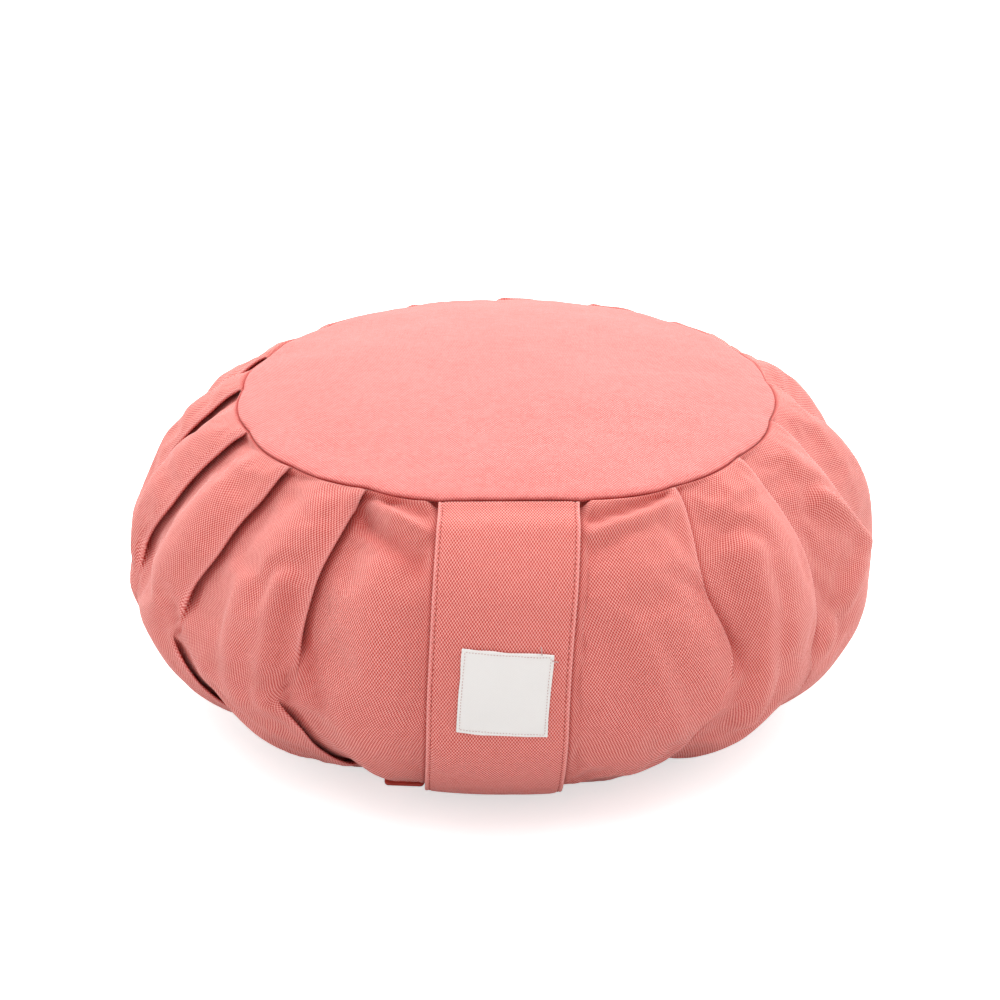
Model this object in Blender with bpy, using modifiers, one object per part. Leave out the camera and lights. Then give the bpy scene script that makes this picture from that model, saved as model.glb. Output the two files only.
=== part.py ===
"""A round, pleated meditation cushion of the zafu kind, filled and standing on z = 0.

Metres, +Z up, with the Z axis through the middle of the bottom. Azimuths are in degrees from +X towards
+Y, so the carrying strap, at the front, is at -90. A share runs down the pleated side, from 0 at the top seam
to 1 at the bottom seam. A lift is a distance out of the plain round side, along its outward normal.
"""

from collections import namedtuple
import math

import bmesh
import bpy
import numpy as np
from mathutils import Vector

# Overall shape: a squat barrel that is widest low down, under a crowned top.
GIRTH_RADIUS = 0.180
GIRTH_HEIGHT = 0.061
TOP_SEAM_RADIUS = 0.127
TOP_SEAM_HEIGHT = 0.1455
BOTTOM_SEAM_RADIUS = 0.115
CROWN_HEIGHT = 0.0125
TOP_LEAN = 0.003

# Exponents of the quarter curves from each seam to the girth.
UPPER_SPREAD, UPPER_FALL = 1.67, 0.81
LOWER_SPREAD, LOWER_FALL = 1.20, 1.22

# Cloth and clearances.
CLOTH_THICKNESS = 0.002
GAP = 0.0003
SEAM_DEPTH = 0.0008
SEAM_RIPPLE = 0.0016

# The strap draws the top seam in, and lifts it, over a stretch of the front.
FRONT_PULL, FRONT_RISE = 0.003, 0.001
FRONT_AZIMUTH, FRONT_FLAT, FRONT_END = -98, 20, 46

# Pleats: each is a knife fold whose edge faces towards rising azimuth and covers the start of the next panel.
FOLD_OVERLAP = 0.0095
FLAT_FOLD_WIDTH = 0.0075
FLAP_SHARE = 0.74
FOLD_ROUNDING = 0.0010
FOLD_OPENING = 0.55
SEWN_SHARE = 0.035
PANEL_RISE = 0.8
PANEL_STEPS = 6

# The panels bulge between the folds, mostly above the girth, and are hollow along them.
BILLOW = 0.0030
FOLD_HOLLOW = 0.0012
PANEL_SKEW = 1.3
BILLOW_STARTS, BILLOW_ENDS = (0, 0.20), (0.80, 0.98)
BILLOW_FADE, BILLOW_FADES = 0.55, (0.35, 0.60)

# Carrying strap, label and the tab of the closure at the bottom edge.
STRAP_WIDTH = 0.062
STRAP_TOP_WIDTH = 0.065
STRAP_THICKNESS = 0.0025
STRAP_EASE = 0.009
STRAP_AZIMUTH, STRAP_SKEW = -89.5, 1
STRAP_DIPS, STRAP_FOOT_DIPS = (0.09, 0.012), (0.80, 0.93)
LABEL_WIDTH, LABEL_HEIGHT = 0.0403, 0.0375
LABEL_THICKNESS = 0.001
LABEL_SHARE, LABEL_SHIFT, LABEL_TURN = 0.432, 0.0024, math.radians(4)
TAB_LENGTH, TAB_WIDTH, TAB_THICKNESS = 0.0185, 0.0075, 0.0018
TAB_CENTRE, TAB_TURN, TAB_TILT = (-0.0440, -0.1185), math.radians(-4), math.radians(23)
TAB_SLOT_LENGTH, TAB_SLOT_WIDTH, TAB_SLOT_INSET = 0.0038, 0.0028, 0.0040

# Where the fold's edge crosses the top seam, the girth and the bottom seam, in degrees; the shares at which
# the upper fold has died out and the lower one begins; and the height of the fold's step.
Pleat = namedtuple("Pleat", "top middle bottom upper_end lower_start step")
PLEATS = (
    Pleat(-161, -167, -166, 0.56, 0.60, 0.0050),
    Pleat(-140, -148, -145, 0.54, 0.46, 0.0054),
    Pleat(-121, -122, -118, 0.52, 0.50, 0.0054),
    Pleat(-97, -98, -97, 0.30, 0.80, 0.0012),
    Pleat(-84, -84, -85, 0.30, 0.80, 0.0012),
    Pleat(-55, -55, -61, 0.50, 0.58, 0.0040),
    Pleat(-34, -36, -38, 0.58, 0.66, 0.0038),
    Pleat(-13, -9, -14, 0.46, 0.62, 0.0032),
    Pleat(8, 10, 8, 0.44, 0.60, 0.0034),
    Pleat(27, 33, 30, 0.50, 0.56, 0.0036),
    Pleat(50, 54, 52, 0.42, 0.62, 0.0034),
    Pleat(71, 73, 74, 0.48, 0.58, 0.0038),
    Pleat(92, 96, 93, 0.40, 0.64, 0.0034),
    Pleat(113, 115, 116, 0.50, 0.60, 0.0040),
    Pleat(135, 139, 136, 0.46, 0.56, 0.0038),
    Pleat(157, 165, 158, 0.52, 0.62, 0.0040),
    Pleat(176, 185, 177, 0.54, 0.58, 0.0046),
)
GIRTH_SHARE = 0.50

# Soft creases that cross a panel: their ends, their half width and how far they rise or, below zero, sink.
Crease = namedtuple("Crease", "azimuth_a share_a azimuth_b share_b width lift")
CREASES = (
    Crease(-40, 0.27, -51, 0.64, 0.010, 0.0030),
    Crease(-23, 0.18, -18, 0.37, 0.008, 0.0024),
    Crease(-18, 0.37, -33, 0.53, 0.008, 0.0024),
    Crease(-121, 0.06, -104, 0.20, 0.007, -0.0026),
    Crease(-72, 0.06, -60, 0.02, 0.007, -0.0022),
    Crease(-133, 0.36, -131, 0.62, 0.009, 0.0024),
    Crease(-128, 0.72, -112, 0.80, 0.008, -0.0018),
    Crease(-146, 0.90, -130, 0.90, 0.012, -0.0030),
    Crease(44, 0.22, 37, 0.55, 0.010, 0.0026),
    Crease(105, 0.30, 99, 0.62, 0.010, 0.0024),
    Crease(149, 0.25, 153, 0.60, 0.010, 0.0026),
)

# Rows of the side, closer together near the seams, where the folds open.
ROW_SHARES = (0, 0.012, 0.04, 0.09, 0.15, 0.21, 0.27, 0.33, 0.39, 0.45,
              0.51, 0.57, 0.63, 0.69, 0.75, 0.81, 0.87, 0.93, 0.975, 1)
DISC_RINGS = (0.82, 0.55, 0.28)
DISC_SIDES = 90

CORAL = (0.72, 0.20, 0.17, 1)
TAB_RED = (0.62, 0.10, 0.08, 1)
LABEL_WHITE = (0.86, 0.85, 0.83, 1)


def smooth(value, start, end):
    """0 at start, 1 at end, with level ends; start may lie after end."""
    x = min(max((value - start) / (end - start), 0), 1)
    return x * x * (3 - 2 * x)


def turn_between(azimuth, middle):
    """The turn in degrees from middle to azimuth, the short way round."""
    return (azimuth - middle + 180) % 360 - 180


def side_profile(samples=400):
    """(length, radius, height) samples down the plain side, from the top seam to the bottom seam."""
    turn = np.linspace(0, math.pi / 2, samples)
    rim_height = TOP_SEAM_HEIGHT - SEAM_DEPTH
    sine, cosine = np.sin(turn), np.abs(np.cos(turn))
    upper_radius = TOP_SEAM_RADIUS + (GIRTH_RADIUS - TOP_SEAM_RADIUS) * sine ** UPPER_SPREAD
    upper_height = GIRTH_HEIGHT + (rim_height - GIRTH_HEIGHT) * cosine ** UPPER_FALL
    lower_radius = BOTTOM_SEAM_RADIUS + (GIRTH_RADIUS - BOTTOM_SEAM_RADIUS) * cosine ** LOWER_SPREAD
    lower_height = GIRTH_HEIGHT - (GIRTH_HEIGHT - SEAM_DEPTH) * sine ** LOWER_FALL
    radius = np.concatenate([upper_radius, lower_radius[1:]])
    height = np.concatenate([upper_height, lower_height[1:]])
    steps = np.hypot(np.diff(radius), np.diff(height))
    return np.concatenate([[0], np.cumsum(steps)]), radius, height


SIDE_LENGTHS, SIDE_RADII, SIDE_HEIGHTS = side_profile()
SIDE_LENGTH = SIDE_LENGTHS[-1]


def side_at(share):
    """(radius, height) of the plain side."""
    length = min(max(share, 0), 1) * SIDE_LENGTH
    return np.interp(length, SIDE_LENGTHS, SIDE_RADII), np.interp(length, SIDE_LENGTHS, SIDE_HEIGHTS)


def side_normal(share):
    """The outward normal of the plain side, as its parts away from the axis and upwards."""
    reach = 0.008
    radius_a, height_a = side_at(share - reach)
    radius_b, height_b = side_at(share + reach)
    length = math.hypot(radius_b - radius_a, height_b - height_a)
    return (height_a - height_b) / length, (radius_b - radius_a) / length


def leaning(x, y, z):
    """The point, moved with the slight lean of the cushion's top."""
    return Vector((x + TOP_LEAN * (z / TOP_SEAM_HEIGHT) ** 2, y, z))


def strap_azimuth(share):
    """The azimuth of the strap's middle line, which runs a little askew."""
    return STRAP_AZIMUTH - STRAP_SKEW * (smooth(share, 0, GIRTH_SHARE) + smooth(share, GIRTH_SHARE, 1))


def strap_width(share):
    return STRAP_WIDTH + (STRAP_TOP_WIDTH - STRAP_WIDTH) * smooth(share, 0.4, 0)


def across_strap(azimuth, share):
    """Distance from the strap's middle line, along the side."""
    radius, _ = side_at(share)
    return radius * math.radians(turn_between(azimuth, strap_azimuth(share)))


def strap_cover(azimuth, share):
    """1 under the strap, falling to 0 a little beyond its edges."""
    edge = strap_width(share) / 2 + 0.001
    return smooth(abs(across_strap(azimuth, share)), edge + STRAP_EASE, edge)


def strap_lift(share):
    """Lift of the strap's inner face, which dips at both ends to pass into the seams."""
    tucked = max(smooth(share, *STRAP_DIPS), smooth(share, *STRAP_FOOT_DIPS))
    return GAP - tucked * (STRAP_THICKNESS + 2 * GAP)


def front_share(azimuth):
    """1 over the front stretch that the strap pulls on, falling to 0 past its ends."""
    return smooth(abs(turn_between(azimuth, FRONT_AZIMUTH)), FRONT_END, FRONT_FLAT)


def seam_radius(azimuth):
    """The top seam's radius: drawn in at each fold, and straight across the strap."""
    tops = [pleat.top for pleat in PLEATS]
    ripple = SEAM_RIPPLE * between_folds(azimuth, tops)
    half_chord = math.asin(STRAP_TOP_WIDTH / 2 / TOP_SEAM_RADIUS)
    turn = math.radians(turn_between(azimuth, strap_azimuth(0)))
    chord = TOP_SEAM_RADIUS * (math.cos(half_chord) / math.cos(min(abs(turn), half_chord)) - 1)
    ripple *= smooth(abs(turn), half_chord, half_chord * 1.3)
    chord *= smooth(abs(turn), half_chord * 1.4, half_chord * 0.8)
    return TOP_SEAM_RADIUS + ripple + chord - FRONT_PULL * front_share(azimuth)


def between_folds(azimuth, edges):
    """0 at every fold edge and up to 1 between them, highest just past the middle of each panel."""
    starts = list(edges) + [edges[0] + 360]
    azimuth = (azimuth - edges[0]) % 360 + edges[0]
    position = np.interp(azimuth, starts, range(len(starts))) % 1
    return math.sin(math.pi * position ** PANEL_SKEW) ** 2


def fold_azimuth(pleat, share):
    if share < GIRTH_SHARE:
        return pleat.top + (pleat.middle - pleat.top) * smooth(share, 0, GIRTH_SHARE)
    return pleat.middle + (pleat.bottom - pleat.middle) * smooth(share, GIRTH_SHARE, 1)


def fold_closure(pleat, share):
    """1 where the pleat is folded flat, 0 where its cloth has opened out."""
    upper = smooth(share, pleat.upper_end, pleat.upper_end * (1 - FOLD_OPENING))
    lower = smooth(share, pleat.lower_start, pleat.lower_start + (1 - pleat.lower_start) * FOLD_OPENING)
    at_strap = strap_cover(fold_azimuth(pleat, share), share)
    return max(upper, lower) * (1 - at_strap)


def sewn(share):
    """1 away from the seams, 0 at a seam, where the layers are drawn together."""
    return smooth(share, 0, SEWN_SHARE) * smooth(share, 1, 1 - SEWN_SHARE)


def crease_lift(azimuth, share):
    total = 0
    radius, _ = side_at(share)
    for crease in CREASES:
        along_x = radius * math.radians(crease.azimuth_b - crease.azimuth_a)
        along_y = SIDE_LENGTH * (crease.share_b - crease.share_a)
        from_x = radius * math.radians(turn_between(azimuth, crease.azimuth_a))
        from_y = SIDE_LENGTH * (share - crease.share_a)
        run = (from_x * along_x + from_y * along_y) / (along_x ** 2 + along_y ** 2)
        nearest = min(max(run, 0), 1)
        distance = math.hypot(from_x - nearest * along_x, from_y - nearest * along_y)
        total += crease.lift * math.exp(-((distance / crease.width) ** 2))
    return total


def side_lift(azimuth, share, edges):
    """Lift of the side's outer layer: billows, hollows along the folds, creases and the strap's press."""
    plump = smooth(share, *BILLOW_STARTS) * smooth(share, *reversed(BILLOW_ENDS))
    plump *= 1 - BILLOW_FADE * smooth(share, *BILLOW_FADES)
    billow = (BILLOW + FOLD_HOLLOW) * between_folds(azimuth, edges) - FOLD_HOLLOW
    free = sewn(share) * (plump * billow + crease_lift(azimuth, share))
    cover = strap_cover(azimuth, share)
    pressed = strap_lift(share) - 3 * GAP
    return (1 - cover) * free + cover * pressed


def side_point(azimuth, share, lift):
    """A point on the side, out of the plain barrel by its lift."""
    radius, height = side_at(share)
    away, upwards = side_normal(share)
    near_seam = smooth(share, 0.25, 0)
    radius += (seam_radius(azimuth) - TOP_SEAM_RADIUS) * near_seam + away * lift
    height += FRONT_RISE * front_share(azimuth) * near_seam
    turn = math.radians(azimuth)
    return leaning(radius * math.cos(turn), radius * math.sin(turn), height + upwards * lift)


def fold_layout(closure, step):
    """(distance from the fold's edge, depth) of a pleat's corners, from its outer layer to the next panel."""
    flap = FLAP_SHARE * step
    inner = FOLD_OVERLAP
    folded = (
        (-FOLD_ROUNDING, 0),
        (0, flap / 2),
        (-FOLD_ROUNDING, flap),
        (-inner, flap),
        (-inner - FOLD_ROUNDING / 2, (flap + step) / 2),
        (-inner, step),
        (FOLD_ROUNDING, step),
    )
    opened = [FLAT_FOLD_WIDTH * (place / 6 - 0.35) for place in range(7)]
    depth_share = smooth(closure, 0, 0.5)
    return [
        (flat + (distance - flat) * closure, depth * depth_share)
        for (distance, depth), flat in zip(folded, opened)
    ]


def side_section(share):
    """One closed row of the pleated side: for every pleat, its fold and then the panel up to the next."""
    edges = [fold_azimuth(pleat, share) for pleat in PLEATS]
    radius, _ = side_at(share)
    drawn = sewn(share)
    folds = []
    for pleat, edge in zip(PLEATS, edges):
        layout = fold_layout(fold_closure(pleat, share) * drawn, pleat.step * drawn)
        folds.append([(edge + math.degrees(distance / radius), depth) for distance, depth in layout])
    corners = []
    for fold, following in zip(folds, folds[1:] + folds[:1]):
        corners += fold
        start, depth = fold[-1]
        width = (following[0][0] - start) % 360
        for step in range(1, PANEL_STEPS):
            run = step / PANEL_STEPS
            corners.append((start + width * run, depth * (1 - smooth(run, 0, PANEL_RISE))))
    return [side_point(azimuth, share, side_lift(azimuth, share, edges) - depth)
            for azimuth, depth in corners]


def loft(name, rings):
    """A closed solid through rings of equal length, its two ends filled with flat faces."""
    mesh = bmesh.new()
    rows = [[mesh.verts.new(point) for point in ring] for ring in rings]
    count = len(rows[0])
    for upper, lower in zip(rows, rows[1:]):
        for i in range(count):
            j = (i + 1) % count
            mesh.faces.new((upper[i], lower[i], lower[j], upper[j]))
    mesh.faces.new(rows[0])
    mesh.faces.new(reversed(rows[-1]))
    return finished(name, mesh)


def crown_point(azimuth, fraction, drop, inset=0):
    """A point on the crowned top, at a fraction of the way from its middle to the seam."""
    radius = fraction * (seam_radius(azimuth) - inset)
    turn = math.radians(azimuth)
    height = TOP_SEAM_HEIGHT + CROWN_HEIGHT * (1 - fraction ** 2) - drop
    height += FRONT_RISE * front_share(azimuth) * smooth(fraction, 0.28, 1)
    return leaning(radius * math.cos(turn), radius * math.sin(turn), height)


def make_filled_body():
    """The pleated side with its filling, recessed at top and bottom for the two round panels."""
    side_rows = [side_section(share) for share in ROW_SHARES]
    azimuths = [math.degrees(math.atan2(point.y, point.x - TOP_LEAN)) for point in side_rows[0]]
    under_panel = CLOTH_THICKNESS + 2 * GAP
    top_rows = [[crown_point(azimuth, fraction, under_panel) for azimuth in azimuths]
                for fraction in (1,) + DISC_RINGS]
    bottom_row = [Vector((point.x, point.y, CLOTH_THICKNESS + GAP)) for point in side_rows[-1]]
    return loft("filled_body", top_rows[::-1] + side_rows + [bottom_row])


def make_top_panel():
    """The crowned round panel: an open dome given the cloth's thickness below it."""
    mesh = bmesh.new()
    azimuths = [360 * side / DISC_SIDES for side in range(DISC_SIDES)]
    rings = [[mesh.verts.new(crown_point(azimuth, fraction, 0, 2 * GAP)) for azimuth in azimuths]
             for fraction in (1,) + DISC_RINGS]
    for outer, inner in zip(rings, rings[1:]):
        for i in range(DISC_SIDES):
            j = (i + 1) % DISC_SIDES
            mesh.faces.new((outer[i], outer[j], inner[j], inner[i]))
    mesh.faces.new(rings[-1])
    return thickened(finished("top_panel", mesh), CLOTH_THICKNESS, -1)


def make_bottom_panel():
    """The flat round panel that the cushion stands on."""
    mesh = bmesh.new()
    bmesh.ops.create_cone(
        mesh,
        cap_ends=True,
        segments=DISC_SIDES,
        radius1=BOTTOM_SEAM_RADIUS - 2 * GAP,
        radius2=BOTTOM_SEAM_RADIUS - 2 * GAP,
        depth=CLOTH_THICKNESS,
    )
    bmesh.ops.translate(mesh, vec=(0, 0, CLOTH_THICKNESS / 2), verts=mesh.verts)
    return finished("bottom_panel", mesh)


def make_carry_strap():
    """The flat strap, sewn in at both seams and lying against the side between them."""
    rows = [0.004 if share == 0 else 0.994 if share == 1 else share for share in ROW_SHARES]
    columns = 7
    mesh = bmesh.new()
    verts = []
    for share in rows:
        radius, _ = side_at(share)
        for column in range(columns):
            across = strap_width(share) * (column / (columns - 1) - 0.5)
            azimuth = strap_azimuth(share) + math.degrees(across / radius)
            verts.append(mesh.verts.new(side_point(azimuth, share, strap_lift(share))))
    fill_grid(mesh, verts, len(rows), columns)
    return thickened(finished("carry_strap", mesh), STRAP_THICKNESS, 1)


def make_label():
    """The square label, set a little askew on the strap. Its face is bare."""
    steps = 6
    mesh = bmesh.new()
    verts = []
    for row in range(steps + 1):
        down = LABEL_HEIGHT * (row / steps - 0.5)
        for column in range(steps + 1):
            across = LABEL_WIDTH * (column / steps - 0.5)
            turned_across = LABEL_SHIFT + across * math.cos(LABEL_TURN) - down * math.sin(LABEL_TURN)
            turned_down = across * math.sin(LABEL_TURN) + down * math.cos(LABEL_TURN)
            share = LABEL_SHARE + turned_down / SIDE_LENGTH
            radius, _ = side_at(share)
            azimuth = strap_azimuth(share) + math.degrees(turned_across / radius)
            lift = strap_lift(share) + STRAP_THICKNESS + 1.3 * GAP
            verts.append(mesh.verts.new(side_point(azimuth, share, lift)))
    fill_grid(mesh, verts, steps + 1, steps + 1)
    return thickened(finished("label", mesh), LABEL_THICKNESS, 1)


def make_zip_pull():
    """The closure's tab at the strap's foot, one long edge by the floor and the other tilted up under the
    side, with a slot across its outer end."""
    curve = bpy.data.curves.new("zip_pull", "CURVE")
    curve.dimensions = "2D"
    curve.fill_mode = "BOTH"
    curve.extrude = TAB_THICKNESS / 2
    half_length, half_width, corner = TAB_LENGTH / 2, TAB_WIDTH / 2, TAB_WIDTH * 0.28
    outline = rounded_corners(-half_length, half_length, half_width, corner)
    slot_middle = -half_length + TAB_SLOT_INSET
    slot_left, slot_right = slot_middle - TAB_SLOT_WIDTH / 2, slot_middle + TAB_SLOT_WIDTH / 2
    slot = rounded_corners(slot_left, slot_right, TAB_SLOT_LENGTH / 2, TAB_SLOT_WIDTH * 0.2)
    for points in (outline, slot):
        spline = curve.splines.new("POLY")
        spline.points.add(len(points) - 1)
        for spline_point, (x, y) in zip(spline.points, points):
            spline_point.co = (x, y, 0, 1)
        spline.use_cyclic_u = True
    tab = bpy.data.objects.new("zip_pull", curve)
    middle_height = (half_width * math.sin(TAB_TILT) + TAB_THICKNESS / 2 * math.cos(TAB_TILT)) + GAP
    tab.location = (*TAB_CENTRE, middle_height)
    tab.rotation_euler = (TAB_TILT, 0, TAB_TURN)
    return tab


def rounded_corners(left, right, half_width, corner, steps=4):
    """The outline of a rectangle about the X axis with round corners, counterclockwise."""
    points = []
    corners = (
        (right - corner, half_width - corner, 0),
        (left + corner, half_width - corner, 90),
        (left + corner, corner - half_width, 180),
        (right - corner, corner - half_width, 270),
    )
    for x, y, start in corners:
        for step in range(steps + 1):
            turn = math.radians(start + 90 * step / steps)
            points.append((x + corner * math.cos(turn), y + corner * math.sin(turn)))
    return points


def fill_grid(mesh, verts, rows, columns):
    """Faces over rows of verts that run down the side, facing out."""
    for row in range(rows - 1):
        for column in range(columns - 1):
            first = row * columns + column
            below = first + columns
            mesh.faces.new((verts[first], verts[below], verts[below + 1], verts[first + 1]))


def finished(name, mesh):
    data = bpy.data.meshes.new(name)
    mesh.to_mesh(data)
    mesh.free()
    data.shade_smooth()
    data.set_sharp_from_angle(angle=math.radians(50))
    return bpy.data.objects.new(name, data)


def thickened(sheet, thickness, side):
    """The sheet made solid, on the side its faces point to for 1 and on the other side for -1."""
    solidify = sheet.modifiers.new("Thickness", "SOLIDIFY")
    solidify.thickness = thickness
    solidify.offset = side
    solidify.use_even_offset = True
    return sheet


def make_material(name, colour, roughness):
    material = bpy.data.materials.new(name)
    material.use_nodes = True
    shader = material.node_tree.nodes["Principled BSDF"]
    shader.inputs["Base Color"].default_value = colour
    shader.inputs["Roughness"].default_value = roughness
    shader.inputs["Metallic"].default_value = 0
    return material


def main():
    for old in list(bpy.data.objects):
        bpy.data.objects.remove(old)
    cushion = bpy.data.collections.new("Zafu cushion")
    bpy.context.scene.collection.children.link(cushion)
    pieces = (
        (make_filled_body(), make_material("Side canvas", CORAL, 0.9)),
        (make_top_panel(), make_material("Top canvas", CORAL, 0.9)),
        (make_bottom_panel(), make_material("Bottom canvas", CORAL, 0.9)),
        (make_carry_strap(), make_material("Strap canvas", CORAL, 0.9)),
        (make_label(), make_material("Label weave", LABEL_WHITE, 0.8)),
        (make_zip_pull(), make_material("Coated tab", TAB_RED, 0.5)),
    )
    for piece, material in pieces:
        piece.data.materials.append(material)
        cushion.objects.link(piece)


main()
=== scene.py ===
# Zafu meditation cushion: a pleated canvas side between two round panels, with a carrying strap on its front.
# Metres, +Z up. Azimuths are in degrees from +X towards +Y, so the strap, at the front, is at -90. A share runs
# down the pleated side, from 0 at the top seam to 1 at the bottom one. A lift is a distance out of the side.
import math
import random

import bmesh
import bpy
import numpy as np
from mathutils import Matrix, Vector, noise


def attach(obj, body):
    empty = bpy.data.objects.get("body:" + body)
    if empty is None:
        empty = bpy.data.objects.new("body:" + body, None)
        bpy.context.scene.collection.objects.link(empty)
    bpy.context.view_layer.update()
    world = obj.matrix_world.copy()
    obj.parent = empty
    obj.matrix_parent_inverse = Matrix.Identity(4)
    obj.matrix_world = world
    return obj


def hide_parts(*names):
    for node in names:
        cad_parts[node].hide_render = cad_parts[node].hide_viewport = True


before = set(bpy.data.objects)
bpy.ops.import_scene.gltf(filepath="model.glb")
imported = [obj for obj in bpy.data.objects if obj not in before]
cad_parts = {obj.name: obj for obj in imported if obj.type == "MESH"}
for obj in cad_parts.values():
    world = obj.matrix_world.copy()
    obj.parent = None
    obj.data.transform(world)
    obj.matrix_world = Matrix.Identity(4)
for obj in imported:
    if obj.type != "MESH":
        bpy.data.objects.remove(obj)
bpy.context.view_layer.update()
random.seed(7)
print("frame loaded:", ", ".join(sorted(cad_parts)))

camera = {
    "target": (0, 0, 0.0895),
    "distance": 1.44,
    "elevation": 24.85,
    "lens": 106.7,
    "sensor": 36,
}


def assign(item, **values):
    for name, value in values.items():
        setattr(item, name, value)
    return item


def putInScene(name, data):
    item = bpy.data.objects.new(name, data)
    bpy.context.scene.collection.objects.link(item)
    return item


def placeCamera():
    data = assign(bpy.data.cameras.new("photoCamera"), lens=camera["lens"], sensor_width=camera["sensor"])
    eye = putInScene("photoCamera", data)
    rise = math.radians(camera["elevation"])
    ahead = Vector((0, math.cos(rise), -math.sin(rise)))
    eye.location = Vector(camera["target"]) - ahead * camera["distance"]
    eye.rotation_euler = ahead.to_track_quat("-Z", "Y").to_euler()
    bpy.context.scene.camera = eye


placeCamera()

studio = {
    "floorHalf": 6,
    "floorColour": (0.80, 0.80, 0.80, 1),
    "floorGlow": 0.62,
    "skyStrength": 0.66,
    "lampSpread": 60,
    "lamps": {
        "overhead": ((0, 0, 1), 1.6, (1, 1, 1)),
        "behind": ((0, 0.8, 0.6), 3.1, (1, 1, 1)),
        "besideRight": ((0.85, 0.65, 0.3), 2.5, (0.6, 1, 1)),
        "besideLeft": ((-0.85, 0.4, 0.35), 1.4, (0.55, 1, 1)),
    },
}


def lightStudio():
    # A white sky for the soft fill, and broad soft lamps above, behind and at both sides, as in a product picture
    world = bpy.data.worlds.new("studioSky")
    bpy.context.scene.world = world
    world.use_nodes = True
    tree = world.node_tree
    connect(tree, tree.nodes["Background"], Color=(1, 1, 1, 1), Strength=studio["skyStrength"])
    for name, (comesFrom, strength, colour) in studio["lamps"].items():
        data = assign(bpy.data.lights.new(name, "SUN"), color=colour, energy=strength,
                      angle=math.radians(studio["lampSpread"]))
        putInScene(name, data).rotation_euler = Vector(comesFrom).to_track_quat("Z", "Y").to_euler()
    bpy.context.scene.view_settings.view_transform = "Standard"


def layFloor():
    mesh = bmesh.new()
    bmesh.ops.create_grid(mesh, x_segments=8, y_segments=8, size=studio["floorHalf"])
    floor = finishPiece("floor", mesh)
    paint, tree, shader = startMaterial("palePaper")
    # A glow that only the camera sees, as on a lit table, keeps the shadow short and the paper white
    seen = newNode(tree, "LightPath").outputs["Is Camera Ray"]
    connect(tree, shader, Base_Color=studio["floorColour"], Roughness=0.9, Specular_IOR_Level=0.1,
            Emission_Color=(1, 1, 1, 1), Emission_Strength=calc(tree, "MULTIPLY", seen, studio["floorGlow"]))
    floor.data.materials.append(paint)


def smooth(value, start, end):
    # 0 at start, 1 at end, with level ends; start may lie after end
    x = np.clip((value - start) / (end - start), 0, 1)
    return x * x * (3 - 2 * x)


def turnBetween(azimuth, middle):
    return (azimuth - middle + 180) % 360 - 180


def bell(distance, width):
    return np.exp(-((distance / width) ** 2))


def ripples(points, size, seed):
    # Soft noise in -1..1 at each point, with bumps about as far apart as size
    shift = Vector((seed * 7.3, seed * 3.1, seed * 5.7))
    flat = np.asarray(points).reshape(-1, 3)
    found = [noise.noise(Vector(point) / size + shift) for point in flat.tolist()]
    return np.array(found).reshape(np.asarray(points).shape[:-1])


def clothGrid(columns, rows):
    # A flat piece of cloth with its UV map, ready to be laid in place row by row
    mesh = bmesh.new()
    mesh.loops.layers.uv.new("cloth")
    bmesh.ops.create_grid(mesh, x_segments=columns, y_segments=rows, size=1)
    mesh.verts.ensure_lookup_table()
    return mesh


def layCloth(mesh, places, cloth):
    # places and cloth have one entry for each point of the grid: where it lies, and where it was on the flat cloth
    flatPlaces, flatCloth = places.reshape(-1, 3), cloth.reshape(-1, 2)
    uv = mesh.loops.layers.uv.active
    for vert in mesh.verts:
        vert.co = flatPlaces[vert.index]
    for face in mesh.faces:
        for loop in face.loops:
            loop[uv].uv = flatCloth[loop.vert.index]


def markPoints(mesh, **marks):
    # Gives each point of the grid its own value for every mark
    for name, values in marks.items():
        layer = mesh.verts.layers.float.new(name)
        for vert in mesh.verts:
            vert[layer] = values.flat[vert.index]


def growRim(mesh, rim):
    # Extrudes a ring of edges, and gives all that is new, its outer points and its outer edges
    grown = bmesh.ops.extrude_edge_only(mesh, edges=rim)["geom"]
    verts = {item for item in grown if isinstance(item, bmesh.types.BMVert)}
    edges = [item for item in grown if isinstance(item, bmesh.types.BMEdge) and set(item.verts) <= verts]
    return grown, verts, edges


def finishPiece(name, mesh, sharp=None):
    data = bpy.data.meshes.new(name)
    mesh.to_mesh(data)
    mesh.free()
    data.shade_smooth()
    if sharp:
        data.set_sharp_from_angle(angle=math.radians(sharp))
    return putInScene(name, data)


def thicken(piece, thickness, side):
    assign(piece.modifiers.new("thickness", "SOLIDIFY"), thickness=thickness, offset=side, use_even_offset=True)


def roundEdges(piece, width, segments=3):
    assign(piece.modifiers.new("rounding", "BEVEL"), width=width, segments=segments, limit_method="ANGLE",
           angle_limit=math.radians(50))


def applyModifiers(piece):
    sight = bpy.context.evaluated_depsgraph_get()
    settled = bpy.data.meshes.new_from_object(piece.evaluated_get(sight))
    piece.modifiers.clear()
    piece.data = settled


cushion = {
    "girthRadius": 0.180,
    "girthHeight": 0.061,
    "topSeamRadius": 0.127,
    "topSeamHeight": 0.1455,
    "bottomSeamRadius": 0.115,
    "crownHeight": 0.0125,
    "topLean": 0.003,
    "upperCurve": (1.67, 0.81),
    "lowerCurve": (1.20, 1.22),
    "seamDepth": 0.0008,
    "seamRipple": 0.0016,
    "pullEnd": 0.25,
    "frontPull": 0.003,
    "frontRise": 0.001,
    "frontRiseStart": 0.28,
    "frontAzimuth": -98,
    "frontFlat": 20,
    "frontEnd": 46,
}

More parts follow.
